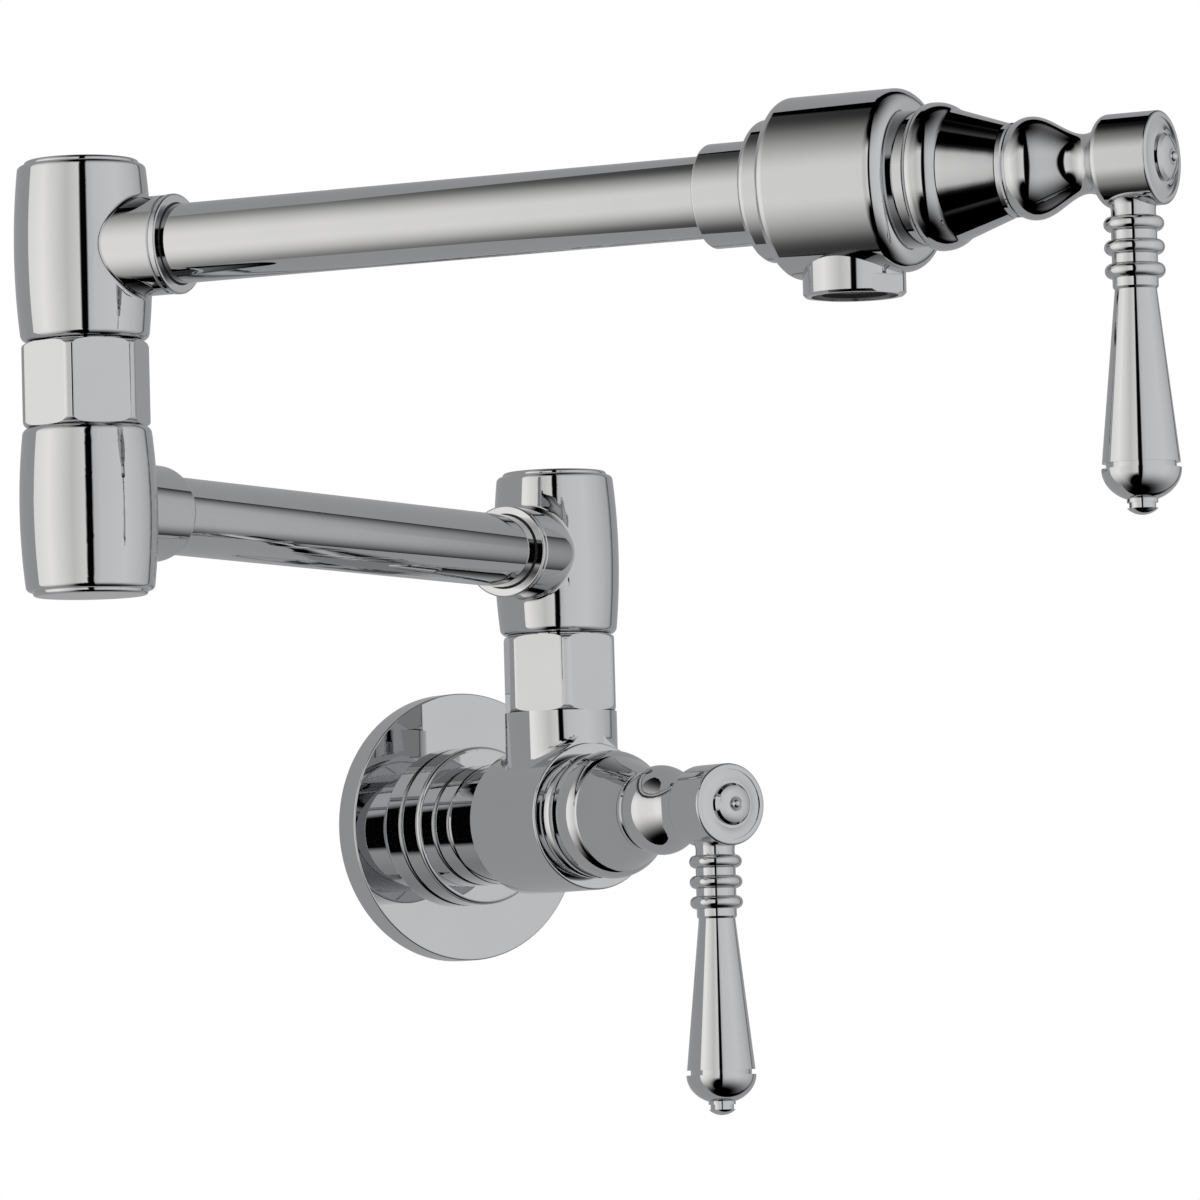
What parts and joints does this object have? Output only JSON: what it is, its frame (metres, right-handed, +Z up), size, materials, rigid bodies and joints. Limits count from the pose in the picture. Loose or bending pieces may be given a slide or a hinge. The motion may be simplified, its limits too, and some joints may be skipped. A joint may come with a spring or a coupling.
{
  "type": "pot filler",
  "caption": "Wall-mounted pot filler in polished chrome: a double-jointed swing arm with a lever valve at the wall and another at the outlet.",
  "frame": {"origin": "centre of the wall flange's back face, on the wall", "axes": "+Y into the wall, +Z up, the object stands out along -Y"},
  "size_m": [0.2648, 0.4221, 0.2386],
  "materials": {
    "chrome": "polished chrome plate",
    "brass": "machined brass",
    "rubber": "black nitrile rubber",
    "bearing_plastic": "off-white acetal, matte",
    "black_plastic": "moulded black plastic, matte",
    "steel": "stainless steel, satin",
    "ceramic": "lapped alumina"
  },
  "bodies": {
    "wall_valve": {"wall_flange": "chrome", "flange_gasket": "rubber", "lock_ring": "chrome", "inlet_coupling": "chrome", "valve_body": "chrome", "bonnet_ring": "chrome", "post_nut": "chrome", "lower_bonnet": "chrome", "lower_cartridge": "brass", "lower_seat_seal": "rubber", "lower_fixed_disc": "ceramic"},
    "lower_arm": {"post_hub": "chrome", "post_hub_plug": "chrome", "post_socket_seal": "rubber", "post_spigot": "chrome", "post_spigot_seals": "rubber", "post_bush": "bearing_plastic", "lower_tube": "chrome", "lower_elbow_hub": "chrome", "lower_elbow_plug": "chrome", "elbow_nut": "chrome"},
    "upper_arm": {"upper_elbow_hub": "chrome", "upper_elbow_plug": "chrome", "elbow_spigot": "chrome", "elbow_spigot_seals": "rubber", "elbow_bush": "bearing_plastic", "elbow_socket_seal": "rubber", "upper_tube": "chrome", "outlet_body": "chrome", "outlet_nozzle": "chrome", "aerator_insert": "black_plastic", "aerator_screen": "steel", "aerator_washer": "rubber", "upper_bonnet": "chrome", "upper_cartridge": "brass", "upper_seat_seal": "rubber", "upper_fixed_disc": "ceramic"},
    "lower_handle": {"lower_turning_disc": "ceramic", "lower_stem": "brass", "lower_handle_neck": "chrome", "lower_handle_hub": "chrome", "lower_handle_cap": "chrome", "lower_handle_screw": "steel", "lower_lever": "chrome", "lower_lever_end": "chrome"},
    "upper_handle": {"upper_turning_disc": "ceramic", "upper_stem": "brass", "upper_handle_neck": "chrome", "upper_handle_hub": "chrome", "upper_handle_cap": "chrome", "upper_handle_screw": "steel", "upper_lever": "chrome", "upper_lever_end": "chrome"}
  },
  "joints": [
    {"name": "lower_arm_swing", "type": "hinge", "parent": "wall_valve", "child": "lower_arm", "pos_m": [0, -0.056, 0.06], "axis": [0, 0, 1], "range_deg": [-27.5, 152.5]},
    {"name": "upper_arm_swing", "type": "hinge", "parent": "lower_arm", "child": "upper_arm", "pos_m": [-0.21066, -0.16567, 0.1], "axis": [0, 0, 1], "continuous": true},
    {"name": "lower_handle_turn", "type": "hinge", "parent": "wall_valve", "child": "lower_handle", "pos_m": [0, -0.1, 0], "axis": [0, -1, 0], "range_deg": [0, 90]},
    {"name": "upper_handle_turn", "type": "hinge", "parent": "upper_arm", "child": "upper_handle", "pos_m": [-0.08908, -0.38411, 0.1344], "axis": [0.4863, -0.8738, 0], "range_deg": [0, 90]}
  ]
}
